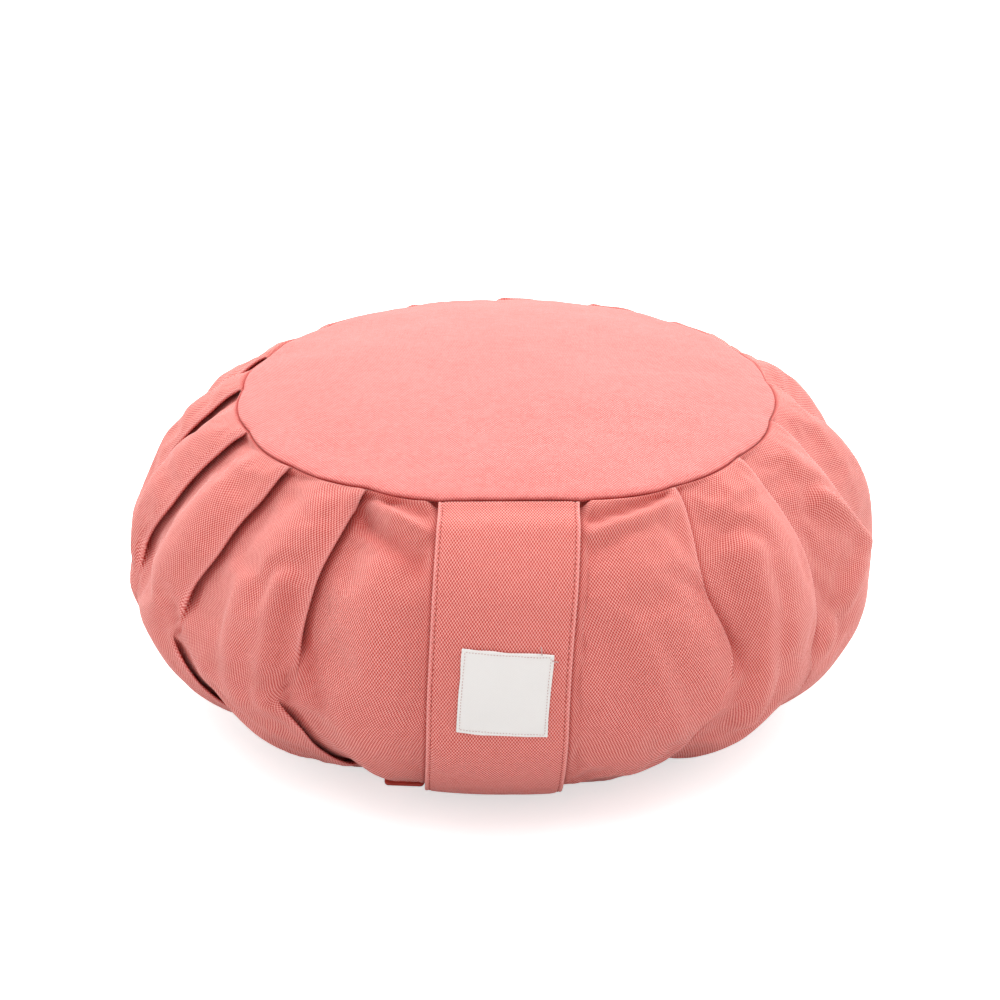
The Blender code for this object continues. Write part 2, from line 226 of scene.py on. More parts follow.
strap = {
    "width": 0.062,
    "topWidth": 0.065,
    "wideningEnd": 0.4,
    "thickness": 0.0025,
    "clearance": 0.0003,
    "seenThickness": 0.0018,
    "edgeRadius": 0.0007,
    "wornWidth": 0.0005,
    "ply": 0.0009,
    "ease": 0.0045,
    "easeMargin": 0.001,
    "azimuth": -89.5,
    "skew": 1,
    "topDip": (0.09, 0.012),
    "footDip": (0.80, 0.93),
    "shares": (0.004, 0.994),
    "folds": (3, 4),
    "edgeGroove": 0.0006,
    "edgeShade": 0.7,
    "edgeShadeWidth": 0.0020,
    "edgeShadeInside": 0.002,
    "columns": 34,
    "rows": 96,
    "waveLift": 0.0015,
    "waveSize": 0.024,
    "waveAcross": 0.35,
    "waveBase": 0.15,
    "waveStarts": (0.02, 0.10),
    "waveEnds": (0.98, 0.92),
    "waveMargin": 0.006,
    "stitchInset": 0.0021,
    "stitchPitch": 0.0023,
    "stitchLength": 0.0015,
    "stitchThickness": 0.00042,
    "stitchPress": 0.00045,
    "stitchPressWidth": 0.0007,
    "stitchRise": 0.00008,
    "stitchWander": 0.00012,
    "stitchAhead": 0.004,
    "stitchStart": 0.022,
    "stitchRun": 0.955,
    "stitchedPart": 0.95,
    "stitchColumns": (-0.0009, -0.0004, 0, 0.0009),
}


def sideProfile(samples=600):
    # (length, radius, height) down the plain side, through two quarter curves that meet at the girth
    turn = np.linspace(0, math.pi / 2, samples)
    sine, cosine = np.sin(turn), np.abs(np.cos(turn))
    girth, rim = cushion["girthRadius"], cushion["topSeamHeight"] - cushion["seamDepth"]
    middle, top, bottom = cushion["girthHeight"], cushion["topSeamRadius"], cushion["bottomSeamRadius"]
    upper, lower = cushion["upperCurve"], cushion["lowerCurve"]
    radius = np.concatenate([top + (girth - top) * sine ** upper[0],
                             (bottom + (girth - bottom) * cosine ** lower[0])[1:]])
    height = np.concatenate([middle + (rim - middle) * cosine ** upper[1],
                             (middle - (middle - cushion["seamDepth"]) * sine ** lower[1])[1:]])
    steps = np.hypot(np.diff(radius), np.diff(height))
    return np.concatenate([[0], np.cumsum(steps)]), radius, height


profileLengths, profileRadii, profileHeights = sideProfile()
sideLength = profileLengths[-1]


def sideAt(share):
    length = np.clip(share, 0, 1) * sideLength
    return np.interp(length, profileLengths, profileRadii), np.interp(length, profileLengths, profileHeights)


def sideNormal(share, reach=0.008):
    radiusA, heightA = sideAt(share - reach)
    radiusB, heightB = sideAt(share + reach)
    length = np.hypot(radiusB - radiusA, heightB - heightA)
    return (heightA - heightB) / length, (radiusB - radiusA) / length


def strapAzimuth(share):
    return strap["azimuth"] - strap["skew"] * (smooth(share, 0, 0.5) + smooth(share, 0.5, 1))


def strapWidth(share):
    return strap["width"] + (strap["topWidth"] - strap["width"]) * smooth(share, strap["wideningEnd"], 0)


def strapCover(azimuth, share):
    # 1 under the strap, falling to 0 a little beyond its edges
    radius, _ = sideAt(share)
    across = radius * np.radians(turnBetween(azimuth, strapAzimuth(share)))
    edge = strapWidth(share) / 2 + strap["easeMargin"]
    return smooth(np.abs(across), edge + strap["ease"], edge)


def strapLift(share):
    # Its inner face, which dips at both ends to pass into the seams
    tucked = np.maximum(smooth(share, *strap["topDip"]), smooth(share, *strap["footDip"]))
    return strap["clearance"] - tucked * (strap["thickness"] + 2 * strap["clearance"])


def frontShare(azimuth):
    return smooth(np.abs(turnBetween(azimuth, cushion["frontAzimuth"])), cushion["frontEnd"], cushion["frontFlat"])


def betweenFolds(azimuth, edges, skew=1.3):
    # 0 at every fold and 1 between them, highest just past the middle of each panel
    starts = np.append(edges, edges[0] + 360)
    position = np.interp((azimuth - edges[0]) % 360 + edges[0], starts, np.arange(len(starts))) % 1
    return np.sin(math.pi * position ** skew) ** 2


def seamRadius(azimuth):
    # Drawn in at each fold, straight across the strap
    top = cushion["topSeamRadius"]
    ripple = cushion["seamRipple"] * np.sqrt(betweenFolds(azimuth, pleatColumn("top"), 1.15))
    halfChord = math.asin(strap["topWidth"] / 2 / top)
    turn = np.abs(np.radians(turnBetween(azimuth, strapAzimuth(0))))
    chord = top * (math.cos(halfChord) / np.cos(np.minimum(turn, halfChord)) - 1)
    ripple = ripple * smooth(turn, halfChord, halfChord * 1.3)
    chord = chord * smooth(turn, halfChord * 1.4, halfChord * 0.8)
    return top + ripple + chord - cushion["frontPull"] * frontShare(azimuth)


def ringPoint(radius, azimuth, height):
    turn = np.radians(azimuth)
    return np.stack([radius * np.cos(turn), radius * np.sin(turn), height + 0 * radius], -1)


def leaning(points):
    # The cushion's top leans slightly to one side
    points[..., 0] += cushion["topLean"] * (points[..., 2] / cushion["topSeamHeight"]) ** 2
    return points


def sidePoint(azimuth, share, lift):
    radius, height = sideAt(share)
    away, upwards = sideNormal(share)
    nearSeam = smooth(share, cushion["pullEnd"], 0)
    radius = radius + (seamRadius(azimuth) - cushion["topSeamRadius"]) * nearSeam + away * lift
    height = height + cushion["frontRise"] * frontShare(azimuth) * nearSeam + upwards * lift
    return leaning(ringPoint(radius, azimuth, height))


# Where each fold's edge runs, in degrees, at the shares of foldKnots; the shares at which the upper fold has
# died out and the lower one begins; and the height of the fold's step. The fourth and fifth stay open: they follow
# the strap's two edges.
foldKnots = (0, 0.24, 0.44, 0.54, 0.66, 1)
pleatFields = ("top", "high", "middle", "low", "lower", "bottom", "upperEnd", "lowerStart", "step")
pleats = (
    (-161, -163, -167, -168, -166, -165, 0.52, 0.60, 0.0050),
    (-140, -142, -146, -150, -147, -144, 0.50, 0.47, 0.0054),
    (-120, -121, -121, -124.5, -121, -114, 0.49, 0.49, 0.0054),
    (-104, -102, -100, -100, -101, -107, 0.30, 0.80, 0.0012),
    (-75, -78, -80, -81, -81, -76, 0.30, 0.80, 0.0012),
    (-54, -57, -54, -56, -59.5, -61, 0.53, 0.54, 0.0030),
    (-34, -34, -35, -37, -38, -38, 0.60, 0.66, 0.0028),
    (-13, -14, -10, -11, -12, -14, 0.48, 0.62, 0.0024),
    (8, 8, 11, 11, 10, 8, 0.44, 0.60, 0.0034),
    (27, 30, 33, 33, 32, 30, 0.50, 0.56, 0.0036),
    (50, 51, 54, 55, 54, 52, 0.42, 0.62, 0.0034),
    (71, 72, 73, 72, 72, 74, 0.48, 0.58, 0.0038),
    (92, 93, 96, 97, 95, 93, 0.40, 0.64, 0.0034),
    (113, 114, 115, 113, 114, 116, 0.50, 0.60, 0.0040),
    (135, 136, 139, 140, 138, 136, 0.46, 0.56, 0.0038),
    (157, 160, 165, 164, 161, 158, 0.52, 0.62, 0.0040),
    (176, 176, 185, 186, 182, 177, 0.50, 0.58, 0.0046),
)

# Soft creases across the panels: (azimuth, share) of both ends, half width, and how far they rise or sink
creases = (
    (-58, 0.25, -51.5, 0.48, 0.0042, -0.0044),
    (-48, 0.22, -50, 0.62, 0.0075, 0.0042),
    (-24, 0.21, -17, 0.37, 0.0050, 0.0034),
    (-18, 0.37, -33, 0.52, 0.0060, 0.0030),
    (-33, 0.36, -27, 0.52, 0.0036, -0.0036),
    (-76, 0.058, -57, 0.012, 0.0026, -0.0038),
    (-75, 0.094, -58, 0.044, 0.0034, 0.0022),
    (-117, 0.026, -103, 0.098, 0.0030, 0.0032),
    (-119.5, 0.050, -109, 0.125, 0.0022, -0.0032),
    (-118, 0.075, -104, 0.160, 0.0050, -0.0040),
    (-114, 0.012, -103, 0.050, 0.0034, -0.0034),
    (-123.6, 0.29, -123, 0.54, 0.0028, -0.0042),
    (-126, 0.26, -126.5, 0.56, 0.0040, 0.0036),
    (-119, 0.43, -117, 0.52, 0.0042, -0.0052),
    (-149, 0.44, -147, 0.53, 0.0032, -0.0046),
    (-134, 0.30, -132, 0.58, 0.0080, 0.0014),
    (-128, 0.72, -112, 0.80, 0.0070, -0.0018),
    (-146, 0.90, -130, 0.90, 0.0110, -0.0028),
    (-117, 0.87, -111, 0.89, 0.0080, -0.0052),
    (-70, 0.34, -64, 0.58, 0.0075, 0.0014),
    (-77, 0.86, -63, 0.80, 0.0060, -0.0016),
    (44, 0.22, 37, 0.55, 0.010, 0.0026),
    (59, 0.40, 66, 0.58, 0.005, -0.0024),
    (105, 0.30, 99, 0.62, 0.010, 0.0024),
    (122, 0.34, 119, 0.56, 0.004, -0.0024),
    (149, 0.25, 153, 0.60, 0.010, 0.0026),
    (19, 0.36, 24, 0.56, 0.0045, -0.0026),
    (171, 0.30, 176, 0.52, 0.0045, -0.0024),
)

side = {
    "rows": 48,
    "rowGather": 0.06,
    "foldPoints": 13,  # as many as foldShape gives
    "splitPoint": 8,  # inside the fold
    "closedEnough": (0.45, 0.85),
    "panelColumns": 12,
    "seamRows": (0, 0.0022, 0.0055, 0.011),
    "sewnShare": 0.016,
    "foldOverlap": 0.0095,
    "flatFoldWidth": 0.0075,
    "flatFoldRun": 1.35,
    "flatFoldStart": 0.45,
    "foldLead": 0.0030,
    "leastRoll": 0.0004,
    "leastPocket": 0.0002,
    "heldPanel": 0.15,
    "flapShare": 0.42,
    "foldOpening": 0.38,
    "panelRise": 0.62,
    "lowerFlatter": 0.38,
    "flatterShares": (0.52, 0.66),
    "foldPuff": 0.0008,
    "shadeReach": 0.0074,
    "billow": 0.0030,
    "foldHollow": 0.0012,
    "billowStarts": (0, 0.20),
    "billowEnds": (0.98, 0.80),
    "billowFade": 0.55,
    "billowFades": (0.35, 0.60),
    "valleyDepth": 0.004,
    "valleyShade": 0.4,
    "underShade": 0.45,
    "underShares": (0.72, 0.95),
    "seamShade": 0.0011,
    "seamGroove": 0.0016,
    "grooveWidth": 0.0009,
    "slackSize": 0.030,
    "slackLift": 0.0011,
    "slackAlong": 0.55,
    "slackFiner": 0.45,
    "puckerSize": 0.011,
    "puckerLift": 0.0005,
    "puckerWidth": 0.018,
    "underPanel": (0.985, 0.90, 0.50),
    "underDrop": 0.0030,
    "fill": 0.85,
}

# How the filling presses the side out: spare is the share of cloth that has to buckle
settling = {
    "frames": 20,
    "pressure": 4,
    "spare": 0.03,
    "quality": 6,
    "travel": 0.0035,
    "smaller": 0.0022,
    "smallerStarts": (0.02, 0.12),
    "smallerEnds": (0.98, 0.88),
    "seamHold": 0.005,
    "seamFree": 0.011,
    "creaseHold": 0.9,
    "heldLift": 0.002,
}


def pleatColumn(field):
    return np.array([pleat[pleatFields.index(field)] for pleat in pleats], float)


def foldAzimuths(share):
    knots = pleatFields[:len(foldKnots)]
    azimuths = pleatColumn(knots[0])
    for place in range(1, len(knots)):
        turn = pleatColumn(knots[place]) - pleatColumn(knots[place - 1])
        azimuths = azimuths + turn * smooth(share, foldKnots[place - 1], foldKnots[place])
    halfWidth = np.degrees(strapWidth(share) / 2 / sideAt(share)[0])
    for place, edge in zip(strap["folds"], (-1, 1)):
        azimuths[place] = strapAzimuth(share) + edge * halfWidth
    return azimuths


def foldClosures(share):
    # 1 where a pleat is folded flat, 0 where its cloth has opened out
    upperEnd, lowerStart = pleatColumn("upperEnd"), pleatColumn("lowerStart")
    upper = smooth(share, upperEnd, upperEnd * (1 - side["foldOpening"]))
    lower = smooth(share, lowerStart, lowerStart + (1 - lowerStart) * side["foldOpening"])
    return np.maximum(upper, lower) * (1 - strapCover(foldAzimuths(share), share))


def sewn(share):
    # 1 away from the seams, 0 at a seam, where the layers are drawn together
    return smooth(share, 0, side["sewnShare"]) * smooth(share, 1, 1 - side["sewnShare"])


def foldShape(closure, step):
    # (distance from the fold's edge, depth, painted shade, painted highlight) along the folded cloth: its outer roll,
    # the flap's underside, the inner roll and the start of the next panel
    flap, inner, reach = side["flapShare"] * step, side["foldOverlap"], side["shadeReach"] - step
    roll, pocket = max(flap / 2, side["leastRoll"]), max((step - flap) / 2, side["leastPocket"])
    turns = np.radians((90, 45, 0, -45, -90))
    folded = [(-roll - side["foldLead"], -side["foldPuff"] * closure, 0, 0)]
    folded += [(-roll + roll * math.cos(turn), flap / 2 - flap / 2 * math.sin(turn), dark, worn)
               for turn, dark, worn in zip(turns, (0, 0, 0.15, 0.6, 1), (0.3, 1, 0.7, 0, 0))]
    folded += [(-inner * 0.6, flap, 1, 0), (-inner, flap, 1, 0), (-inner - pocket, (flap + step) / 2, 1, 0)]
    folded += [(-inner, step, 1, 0), (-inner * 0.4, step, 1, 0), (reach * 0.35, step, 0.75, 0), (reach, step, 0, 0)]
    folded = np.array(folded)
    flat = side["flatFoldWidth"] * (np.linspace(0, side["flatFoldRun"], len(folded)) - side["flatFoldStart"])
    distance = flat + (folded[:, 0] - flat) * closure
    lines = folded[:, 2:] * smooth(closure, 0.1, 0.7)
    return distance, folded[:, 1] * smooth(closure, 0, 0.5), lines[:, 0], lines[:, 1]


def sideSection(share):
    # One row round the cushion: for every pleat its fold, and then the panel up to the next fold. Each point has
    # its azimuth and depth, its painted shade and painted highlight, and how firmly it is held
    edges, closures, drawn = foldAzimuths(share), foldClosures(share), sewn(share)
    radius, _ = sideAt(share)
    steps = pleatColumn("step") * drawn * (1 - side["lowerFlatter"] * smooth(share, *side["flatterShares"]))
    folds = [foldShape(closure * drawn, step) for closure, step in zip(closures, steps)]
    starts = [edge + np.degrees(fold[0] / radius) for edge, fold in zip(edges, folds)]
    run = np.arange(1, side["panelColumns"]) / side["panelColumns"]
    points = []
    for place, (start, fold) in enumerate(zip(starts, folds)):
        width = (starts[(place + 1) % len(starts)][0] - start[-1]) % 360
        bare = np.zeros_like(run)
        held = smooth(closures[place], 0, 0.5) * np.ones_like(start)
        points.append(np.array([start, fold[1], fold[2], fold[3], held]))
        rising = fold[1][-1] * (1 - smooth(run, 0, side["panelRise"]))
        nearFold = smooth(run, side["heldPanel"], 0) * closures[place]
        points.append(np.array([start[-1] + width * run, rising, bare, bare, nearFold]))
    points = np.concatenate(points, axis=1)
    return np.concatenate([points, points[:, :1] + [[360], [0], [0], [0], [0]]], axis=1)


def creaseLift(azimuth, share):
    total = 0
    radius, _ = sideAt(share)
    for fromAzimuth, fromShare, toAzimuth, toShare, width, lift in creases:
        alongX = radius * np.radians(toAzimuth - fromAzimuth)
        alongY = sideLength * (toShare - fromShare)
        offX = radius * np.radians(turnBetween(azimuth, fromAzimuth))
        offY = sideLength * (share - fromShare)
        nearest = np.clip((offX * alongX + offY * alongY) / (alongX ** 2 + alongY ** 2), 0, 1)
        total = total + lift * bell(np.hypot(offX - nearest * alongX, offY - nearest * alongY), width)
    return total


def sideLift(azimuth, share, edges):
    # Billows, hollows along the folds, creases, and the press of the strap
    plump = smooth(share, *side["billowStarts"]) * smooth(share, *side["billowEnds"])
    plump = plump * (1 - side["billowFade"] * smooth(share, *side["billowFades"]))
    billow = (side["billow"] + side["foldHollow"]) * betweenFolds(azimuth, edges) - side["foldHollow"]
    free = sewn(share) * (plump * billow + creaseLift(azimuth, share))
    cover = strapCover(azimuth, share)
    return (1 - cover) * free + cover * (strapLift(share) - 3 * strap["clearance"])


def sideCloth(places, closures, columnsEach):
    # Lays the flat cloth's own measure over each panel, so that its threads run true between the folds. Two panels'
    # measures meet inside a closed fold, or under the strap, and run into each other over an open fold.
    steps = np.linalg.norm(np.diff(places, axis=1), axis=2)
    along = np.concatenate([np.zeros((len(places), 1)), np.cumsum(steps, axis=1)], axis=1)
    downSteps = np.linalg.norm(np.diff(places, axis=0), axis=2)
    down = np.concatenate([np.zeros((1, places.shape[1])), np.cumsum(downSteps, axis=0)])
    girthRow, panelMiddle = len(places) // 2, side["foldPoints"] + (side["panelColumns"] - 1) // 2
    measures = []
    for pleat in range(-1, len(pleats)):
        middle = max(pleat * columnsEach + panelMiddle, 0)
        across = along[girthRow, middle] + along - along[:, middle:middle + 1]
        measures.append(np.stack([across, down[:, middle:middle + 1] + 0 * across], -1))
    cloth, column = measures[-1].copy(), np.arange(side["foldPoints"])
    splits = dict(zip(strap["folds"], (column[-1], 0)))
    for pleat in range(len(pleats)):
        closed = 1 if pleat in splits else smooth(closures[:, pleat:pleat + 1], *side["closedEnough"])
        part = closed * (column >= splits.get(pleat, side["splitPoint"])) + (1 - closed) * column / column[-1]
        part = (part + np.zeros((len(places), 1)))[..., None]
        fold = slice(pleat * columnsEach, pleat * columnsEach + len(column))
        rest = slice(fold.stop, (pleat + 1) * columnsEach)
        cloth[:, fold] = (1 - part) * measures[pleat][:, fold] + part * measures[pleat + 1][:, fold]
        cloth[:, rest] = measures[pleat + 1][:, rest]
    return cloth


def underShade(share):
    return side["underShade"] * smooth(share, *side["underShares"])


def makeSide():
    columnsEach = side["foldPoints"] + side["panelColumns"] - 1
    columns = columnsEach * len(pleats)
    # Rows lie closer together near the seams; the grid's first row is the bottom one
    run = np.linspace(1, 0, side["rows"] + 1)[1:-1]
    inner = run - side["rowGather"] * np.sin(2 * math.pi * run)
    shares = np.concatenate([1 - np.array(side["seamRows"]), inner, side["seamRows"][::-1]])
    azimuths, depths, dark, worn, holds = np.array([sideSection(share) for share in shares]).transpose(1, 0, 2)
    lifts = np.array([sideLift(azimuth, share, foldAzimuths(share)) for azimuth, share in zip(azimuths, shares)])
    shares = shares[:, None] * np.ones(columns + 1)
    creased, cover, (radius, _) = creaseLift(azimuths, shares), strapCover(azimuths, shares), sideAt(shares)
    # Slack in the cloth, and small puckers where it is gathered into the seams
    free = sewn(shares) * (1 - cover)
    flow = ringPoint(radius, azimuths, shares * sideLength * side["slackAlong"])
    slack = side["slackLift"] * ripples(flow, side["slackSize"], 1)
    slack += side["slackFiner"] * side["slackLift"] * ripples(flow, side["slackSize"] * side["slackFiner"], 2)
    nearSeam = bell(shares * sideLength, side["puckerWidth"]) + bell((1 - shares) * sideLength, side["puckerWidth"])
    pucker = side["puckerLift"] * nearSeam * ripples(flow, side["puckerSize"], 3)
    groove = -side["seamGroove"] * bell(shares * sideLength, side["grooveWidth"])
    pressed = settling["creaseHold"] * np.clip(np.abs(creased) / settling["heldLift"], 0, 1)
    # The panels start a little smaller than they end up, because the filling swells them
    start = -settling["smaller"] * (1 - pressed) * free * smooth(shares, *settling["smallerStarts"])
    start = start * smooth(shares, *settling["smallerEnds"])
    # The strap is stitched down hard, so the cloth sinks along its edges, and painted shade darkens it there
    beyond = np.abs(radius * np.radians(turnBetween(azimuths, strapAzimuth(shares)))) - strapWidth(shares) / 2
    besideStrap = bell(np.maximum(beyond, 0), strap["edgeShadeWidth"]) * smooth(beyond, -strap["edgeShadeInside"], 0)
    groove = groove - strap["edgeGroove"] * besideStrap
    places = sidePoint(azimuths, shares, lifts - depths + free * (slack + pucker) + groove + start)
    nearest = np.minimum(shares, 1 - shares) * sideLength
    holds = np.maximum.reduce([holds, cover, smooth(nearest, settling["seamFree"], settling["seamHold"]), pressed])
    # Painted shade: darker down in the folds, along the seams and the strap's edges, in the creases' valleys and
    # towards the bottom
    valleys = np.clip(-creased / side["valleyDepth"], 0, 1) * free
    dark = np.maximum.reduce([dark, bell(nearest, side["seamShade"]), strap["edgeShade"] * besideStrap,
                              side["valleyShade"] * valleys, underShade(shares)])
    mesh = clothGrid(columns, len(shares) - 1)
    markPoints(mesh, held=holds, crevice=dark, worn=worn)
    closures = np.array([foldClosures(share) for share in shares[::-1, 0]])
    layCloth(mesh, places, sideCloth(places[::-1], closures, columnsEach)[::-1])
    bmesh.ops.remove_doubles(mesh, verts=mesh.verts, dist=1e-7)
    piece = finishPiece("pleatedSide", mesh)
    settleCloth(piece)
    assign(piece.modifiers.new("smoothing", "SUBSURF"), levels=1, render_levels=1, use_limit_surface=False)
    applyModifiers(piece)
    mesh = bmesh.new()
    mesh.from_mesh(piece.data)
    closeUnderPanels(mesh)
    mesh.to_mesh(piece.data)
    mesh.free()
    piece.data.shade_smooth()
    return piece


def settleCloth(piece):
    # The filling presses the side out, and its spare cloth buckles between the folds, seams and strap that hold it
    holds = np.zeros(len(piece.data.vertices))
    piece.data.attributes["held"].data.foreach_get("value", holds)
    pins = piece.vertex_groups.new(name="sewnFast")
    for index, hold in enumerate(holds.tolist()):
        pins.add([index], hold, "REPLACE")
    start = np.zeros(len(holds) * 3)
    piece.data.vertices.foreach_get("co", start)
    cloth = piece.modifiers.new("filling", "CLOTH")
    assign(cloth.settings, quality=settling["quality"], vertex_group_mass=pins.name, use_pressure=True,
           uniform_pressure_force=settling["pressure"], shrink_min=-settling["spare"])
    cloth.settings.effector_weights.gravity = 0
    for moment in range(1, settling["frames"] + 1):
        bpy.context.scene.frame_set(moment)
    applyModifiers(piece)
    bpy.context.scene.frame_set(1)
    ended = np.zeros_like(start)
    piece.data.vertices.foreach_get("co", ended)
    moves = (ended - start).reshape(-1, 3)
    length = np.linalg.norm(moves, axis=1, keepdims=True)
    print("cloth settled: moved up to %.1f mm, mostly %.1f mm" % (1000 * length.max(), 1000 * np.median(length)))
    moves *= settling["travel"] / np.maximum(length, settling["travel"]) * (1 - holds[:, None])
    piece.data.vertices.foreach_set("co", start + moves.ravel())
    piece.vertex_groups.clear()


def closeUnderPanels(mesh):
    # The two open edges turn in under the round panels and are closed over the filling
    for top in (True, False):
        rim = [edge for edge in mesh.edges if edge.is_boundary
               and (edge.verts[0].co.z > cushion["girthHeight"]) == top]
        for fraction in side["underPanel"]:
            _, verts, rim = growRim(mesh, rim)
            for vert in verts:
                azimuth = math.degrees(math.atan2(vert.co.y, vert.co.x - cushion["topLean"] * top))
                foot = ringPoint(fraction * cushion["bottomSeamRadius"], azimuth, side["underDrop"])
                vert.co = crownPoint(azimuth, fraction, side["underDrop"]) if top else foot
        bmesh.ops.contextual_create(mesh, geom=rim)
    bmesh.ops.recalc_face_normals(mesh, faces=mesh.faces)


panel = {
    "cells": 150,
    "thickness": 0.0014,
    "bottomThickness": 0.002,
    "bottomRounding": 0.0006,
    "inset": 0.0012,
    "edgeTurn": ((0.0004, 0.0003), (0.0006, 0.0008), (0.0006, 0.0016), (0.0003, 0.0024)),
    "dents": 0.0009,
    "dentSize": 0.055,
    "dentMargin": 0.02,
    "creaseLift": 0.00035,
    "creaseSize": 0.016,
    "rimPucker": 0.0004,
    "rimPuckerSize": 0.010,
    "rimPuckerWidth": 0.010,
    "rimSink": 0.0004,
    "rimSinkWidth": 0.0016,
    "rimShadeDrops": (0.0006, 0.0016),
}


def crownPoint(azimuth, fraction, drop, inset=0):
    radius = fraction * (seamRadius(azimuth) - inset)
    height = cushion["topSeamHeight"] + cushion["crownHeight"] * (1 - fraction ** 2) - drop
    height = height + cushion["frontRise"] * frontShare(azimuth) * smooth(fraction, cushion["frontRiseStart"], 1)
    return leaning(ringPoint(radius, azimuth, height))


def discGrid(cells):
    # A square grid drawn out to a round one: (fraction, azimuth) of each point
    line = np.linspace(-1, 1, cells + 1)
    x, y = np.meshgrid(line, line)
    roundX, roundY = x * np.sqrt(1 - y * y / 2), y * np.sqrt(1 - x * x / 2)
    return np.hypot(roundX, roundY), np.degrees(np.arctan2(roundY, roundX))


def makeTopPanel():
    fraction, azimuth = discGrid(panel["cells"])
    places = crownPoint(azimuth, fraction, 0, panel["inset"])
    sag = panel["dents"] * ripples(places, panel["dentSize"], 4)
    sag += panel["creaseLift"] * ripples(places, panel["creaseSize"], 5)
    rim = (1 - fraction) * cushion["topSeamRadius"]
    pucker = panel["rimPucker"] * bell(rim, panel["rimPuckerWidth"]) * ripples(places, panel["rimPuckerSize"], 6)
    sink = panel["rimSink"] * bell(rim, panel["rimSinkWidth"])
    places[..., 2] += sag * smooth(rim, 0, panel["dentMargin"]) + pucker - sink
    mesh = clothGrid(panel["cells"], panel["cells"])
    layCloth(mesh, places, places[..., :2])
    turnEdgeDown(mesh, [edge for edge in mesh.edges if edge.is_boundary])
    piece = finishPiece("topPanel", mesh)
    thicken(piece, panel["thickness"], -1)
    return piece


def turnEdgeDown(mesh, rim):
    # The cut edge of the panel rolls down into the seam, and its cloth runs on over it
    uv = mesh.loops.layers.uv.active
    # Painted shade darkens the turned edge as it drops into the seam
    crevice = mesh.verts.layers.float.new("crevice")
    reached, fallen, rolled = 0, 0, 0
    for reach, drop in panel["edgeTurn"]:
        grown, verts, rim = growRim(mesh, rim)
        for vert in verts:
            away = Vector((vert.co.x, vert.co.y, 0)).normalized()
            vert.co += away * (reach - reached) + Vector((0, 0, fallen - drop))
            vert[crevice] = smooth(drop, *panel["rimShadeDrops"])
        further = rolled + math.hypot(reach - reached, drop - fallen)
        for face in (item for item in grown if isinstance(item, bmesh.types.BMFace)):
            for loop in face.loops:
                spot = loop.vert.co.xy
                run = further - reach if loop.vert in verts else rolled - reached
                loop[uv].uv = spot + spot.normalized() * run
        reached, fallen, rolled = reach, drop, further


def makeBottomPanel():
    cells = panel["cells"] // 2
    fraction, azimuth = discGrid(cells)
    places = ringPoint(fraction * (cushion["bottomSeamRadius"] - panel["inset"]), azimuth, 0)
    mesh = clothGrid(cells, cells)
    layCloth(mesh, places, places[..., :2])
    piece = finishPiece("bottomPanel", mesh, sharp=50)
    thicken(piece, panel["bottomThickness"], 1)
    roundEdges(piece, panel["bottomRounding"])
    return piece


def strapWaves(across, share):
    # Soft waves down the strap, which die out at its edges and ends
    still = 0 * across + 0 * share
    flow = np.stack([strap["waveAcross"] * across + still, sideLength * share + still, still], -1)
    waves = strap["waveLift"] * np.maximum(ripples(flow, strap["waveSize"], 8) + strap["waveBase"], 0)
    waves = waves * smooth(share, *strap["waveStarts"]) * smooth(share, *strap["waveEnds"])
    return waves * smooth(strapWidth(share) / 2 - np.abs(across), 0, strap["waveMargin"])


def strapPoint(across, share, lift):
    radius, _ = sideAt(share)
    azimuth = strapAzimuth(share) + np.degrees(across / radius)
    return sidePoint(azimuth, share, strapLift(share) + strapWaves(across, share) + lift)


def makeStrap():
    # Across the strap: a flat face, and at both sides an edge that rolls over and goes down to the cushion
    columns, rows, radius = strap["columns"], strap["rows"], strap["edgeRadius"]
    turns = np.radians((22, 45, 68, 90))
    rollOut, rollDown = radius * np.sin(turns), radius * (1 - np.cos(turns))
    rollOut, rollDown = np.append(rollOut, radius), np.append(rollDown, strap["seenThickness"])
    rolled = np.append(radius * turns, radius * turns[-1] + strap["seenThickness"] - radius)
    # Closer columns along the stitching, which presses the cloth in
    beside = 1 - (strap["stitchInset"] - radius + np.array(strap["stitchColumns"])) / (strap["width"] / 2 - radius)
    run = np.sort(np.concatenate([np.linspace(-1, 1, columns + 1), beside, -beside]))
    shares = np.linspace(strap["shares"][1], strap["shares"][0], rows + 1)[:, None]
    flatHalf = strapWidth(shares) / 2 - radius
    across = np.concatenate([-flatHalf - rollOut[::-1], flatHalf * run, flatHalf + rollOut], axis=1)
    down = np.concatenate([rollDown[::-1], 0 * run, rollDown])
    alongCloth = np.concatenate([-flatHalf - rolled[::-1], flatHalf * run, flatHalf + rolled], axis=1)
    edge = np.maximum(strapWidth(shares) / 2 - np.abs(across), 0)
    press = -strap["stitchPress"] * bell(edge - strap["stitchInset"], strap["stitchPressWidth"])
    places = strapPoint(across, shares, strap["seenThickness"] + press - down)
    cloth = np.stack([alongCloth, (1 - shares) * sideLength + 0 * across], -1)
    mesh = clothGrid(across.shape[1] - 1, rows)
    # A painted highlight along the top of each rolled edge, and painted shade down its sides and towards the bottom
    worn = bell(edge - radius, strap["wornWidth"]) * (down < radius)
    dark = np.maximum(smooth(down, radius, strap["seenThickness"]), underShade(shares))
    markPoints(mesh, crevice=dark, worn=worn)
    layCloth(mesh, places, cloth)
    piece = finishPiece("carryStrap", mesh)
    thicken(piece, strap["ply"], -1)
    return piece


def addStitch(mesh, middle, along, outwards, length, thickness):
    # One stitch: a small rounded bead of thread, lying half in the cloth
    sideways = outwards.cross(along).normalized()
    turn = Matrix((along.normalized(), sideways, outwards)).transposed().to_4x4()
    size = Matrix.Diagonal((length / 2, thickness / 2, thickness / 2, 1))
    bmesh.ops.create_uvsphere(mesh, u_segments=6, v_segments=4, radius=1,
                              matrix=Matrix.Translation(middle) @ turn @ size @ Matrix.Rotation(math.pi / 2, 4, "Y"))


